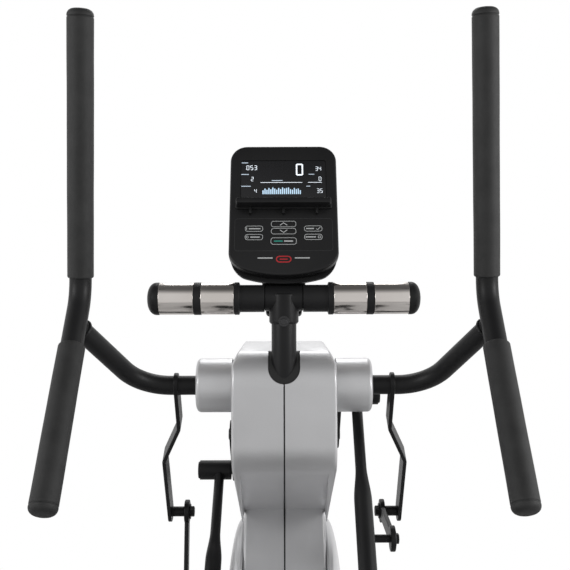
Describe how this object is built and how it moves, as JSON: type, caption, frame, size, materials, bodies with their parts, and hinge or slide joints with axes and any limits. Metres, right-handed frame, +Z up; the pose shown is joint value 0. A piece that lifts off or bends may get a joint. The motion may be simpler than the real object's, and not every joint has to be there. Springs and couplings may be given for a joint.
{
  "type": "elliptical trainer",
  "caption": "Front-drive elliptical trainer with swinging handlebars, a fixed pulse bar, a tilted console, hung pedal arms on rear rails and a covered flywheel.",
  "frame": {"origin": "on the floor under the middle of the bounding box", "axes": "+Z up, +Y the way the rider faces, +X to the rider's right"},
  "size_m": [0.636, 1.3106, 1.5619],
  "materials": {
    "black_steel": "satin",
    "bare_steel": "brushed",
    "stainless": "polished",
    "silver_shell": "metallic satin",
    "black_plastic": "fine texture",
    "grey_plastic": "satin",
    "foam_grip": "matte foam",
    "rubber": "matte",
    "cast_iron": "machined",
    "display": "gloss",
    "key_cap": "printed film",
    "start_key": "printed film"
  },
  "bodies": {
    "frame": {"front_stabiliser": "black_steel", "rear_stabiliser": "black_steel", "main_beam": "black_steel", "column_frame": "black_steel", "mast_tube": "black_steel", "tee_head": "black_steel", "pulse_bar": "black_steel", "left_rail": "bare_steel", "right_rail": "bare_steel", "handlebar_axle": "bare_steel", "left_inner_pulse_plate": "stainless", "left_outer_pulse_plate": "stainless", "right_inner_pulse_plate": "stainless", "right_outer_pulse_plate": "stainless", "left_housing_shell": "silver_shell", "right_housing_shell": "silver_shell", "left_side_cover": "silver_shell", "right_side_cover": "silver_shell", "left_pivot_cover": "silver_shell", "right_pivot_cover": "silver_shell", "left_pulse_grip": "black_plastic", "right_pulse_grip": "black_plastic", "console_front": "black_plastic", "console_back": "black_plastic", "tablet_ledge": "black_plastic", "front_left_foot": "rubber", "front_right_foot": "rubber", "rear_left_foot": "rubber", "rear_right_foot": "rubber", "mast_gasket": "rubber", "drive_belt": "rubber", "display_window": "display"},
    "crank": {"crank_axle": "bare_steel", "left_crank_arm": "black_steel", "right_crank_arm": "black_steel", "drive_pulley": "grey_plastic"},
    "flywheel_set": {"flywheel": "cast_iron"},
    "left_leg": {"left_pedal_arm": "black_steel", "left_pedal": "black_plastic"},
    "left_roller_wheel": {"left_roller": "rubber"},
    "left_handle": {"left_handlebar": "black_steel", "left_upper_grip": "foam_grip", "left_lower_grip": "foam_grip"},
    "left_link_arm": {"left_link": "black_steel"},
    "left_wheel": {"left_transport_wheel": "rubber"},
    "right_leg": {"right_pedal_arm": "black_steel", "right_pedal": "black_plastic"},
    "right_roller_wheel": {"right_roller": "rubber"},
    "right_handle": {"right_handlebar": "black_steel", "right_upper_grip": "foam_grip", "right_lower_grip": "foam_grip"},
    "right_link_arm": {"right_link": "black_steel"},
    "right_wheel": {"right_transport_wheel": "rubber"},
    "upper_left_key_cap": {"upper_left_key": "key_cap"},
    "lower_left_key_cap": {"lower_left_key": "key_cap"},
    "upper_right_key_cap": {"upper_right_key": "key_cap"},
    "lower_right_key_cap": {"lower_right_key": "key_cap"},
    "up_key_cap": {"up_key": "key_cap"},
    "down_key_cap": {"down_key": "key_cap"},
    "start_key_cap": {"start_key": "start_key"}
  },
  "joints": [
    {"name": "crank_turn", "type": "hinge", "parent": "frame", "child": "crank", "pos_m": [0, 0.38029, 0.91], "axis": [-1, 0, 0], "range_deg": [0, 90]},
    {"name": "flywheel_spin", "type": "hinge", "parent": "frame", "child": "flywheel_set", "pos_m": [0, 0.3403, 0.54], "axis": [-1, 0, 0], "range_deg": [0, 400.5]},
    {"name": "left_leg_slide", "type": "slide", "parent": "frame", "child": "left_leg", "axis": [0, 1, 0], "range_m": [-0.16137, 0]},
    {"name": "left_roller_spin", "type": "hinge", "parent": "left_leg", "child": "left_roller_wheel", "pos_m": [-0.122, -0.43807, 0.11], "axis": [1, 0, 0], "range_deg": [0, 264.2]},
    {"name": "left_handle_swing", "type": "hinge", "parent": "frame", "child": "left_handle", "pos_m": [-0.11, 0.19029, 1.02], "axis": [1, 0, 0], "range_deg": [-20.13, 0]},
    {"name": "left_link_pivot", "type": "hinge", "parent": "left_handle", "child": "left_link_arm", "pos_m": [-0.169, 0.3333, 0.784], "axis": [1, 0, 0], "range_deg": [-11.87, 0]},
    {"name": "right_leg_slide", "type": "slide", "parent": "frame", "child": "right_leg", "axis": [0, 1, 0], "range_m": [0, 0.16137]},
    {"name": "right_roller_spin", "type": "hinge", "parent": "right_leg", "child": "right_roller_wheel", "pos_m": [0.122, -0.43777, 0.11], "axis": [1, 0, 0], "range_deg": [-264.2, 0]},
    {"name": "right_handle_swing", "type": "hinge", "parent": "frame", "child": "right_handle", "pos_m": [0.11, 0.19029, 1.02], "axis": [1, 0, 0], "range_deg": [0, 31.86]},
    {"name": "right_link_pivot", "type": "hinge", "parent": "right_handle", "child": "right_link_arm", "pos_m": [0.169, 0.3333, 0.784], "axis": [1, 0, 0], "range_deg": [0, 19.57]},
    {"name": "upper_left_key_press", "type": "slide", "parent": "frame", "child": "upper_left_key_cap", "axis": [0, 0.9198, -0.3923], "range_m": [0, 0.0006], "stiffness_N_per_m": 500},
    {"name": "lower_left_key_press", "type": "slide", "parent": "frame", "child": "lower_left_key_cap", "axis": [0, 0.9198, -0.3923], "range_m": [0, 0.0006], "stiffness_N_per_m": 500},
    {"name": "upper_right_key_press", "type": "slide", "parent": "frame", "child": "upper_right_key_cap", "axis": [0, 0.9198, -0.3923], "range_m": [0, 0.0006], "stiffness_N_per_m": 500},
    {"name": "lower_right_key_press", "type": "slide", "parent": "frame", "child": "lower_right_key_cap", "axis": [0, 0.9198, -0.3923], "range_m": [0, 0.0006], "stiffness_N_per_m": 500},
    {"name": "up_key_press", "type": "slide", "parent": "frame", "child": "up_key_cap", "axis": [0, 0.9198, -0.3923], "range_m": [0, 0.0006], "stiffness_N_per_m": 500},
    {"name": "down_key_press", "type": "slide", "parent": "frame", "child": "down_key_cap", "axis": [0, 0.9198, -0.3923], "range_m": [0, 0.0006], "stiffness_N_per_m": 500},
    {"name": "start_key_press", "type": "slide", "parent": "frame", "child": "start_key_cap", "axis": [0, 0.9198, -0.3923], "range_m": [0, 0.0006], "stiffness_N_per_m": 500},
    {"name": "left_wheel_spin", "type": "hinge", "parent": "frame", "child": "left_wheel", "pos_m": [-0.23, 0.6273, 0.036], "axis": [1, 0, 0], "continuous": true},
    {"name": "right_wheel_spin", "type": "hinge", "parent": "frame", "child": "right_wheel", "pos_m": [0.23, 0.6273, 0.036], "axis": [1, 0, 0], "continuous": true}
  ],
  "couplings": [
    {"joint": "flywheel_spin", "follows": "crank_turn", "ratio": 4.4444},
    {"joint": "left_leg_slide", "follows": "crank_turn", "m_per_rad": -0.10263},
    {"joint": "left_roller_spin", "follows": "crank_turn", "ratio": 2.9322},
    {"joint": "left_handle_swing", "follows": "crank_turn", "ratio": -0.22323},
    {"joint": "left_link_pivot", "follows": "crank_turn", "ratio": -0.1316},
    {"joint": "right_leg_slide", "follows": "crank_turn", "m_per_rad": 0.10263},
    {"joint": "right_roller_spin", "follows": "crank_turn", "ratio": -2.9322},
    {"joint": "right_handle_swing", "follows": "crank_turn", "ratio": 0.35329},
    {"joint": "right_link_pivot", "follows": "crank_turn", "ratio": 0.21701}
  ]
}
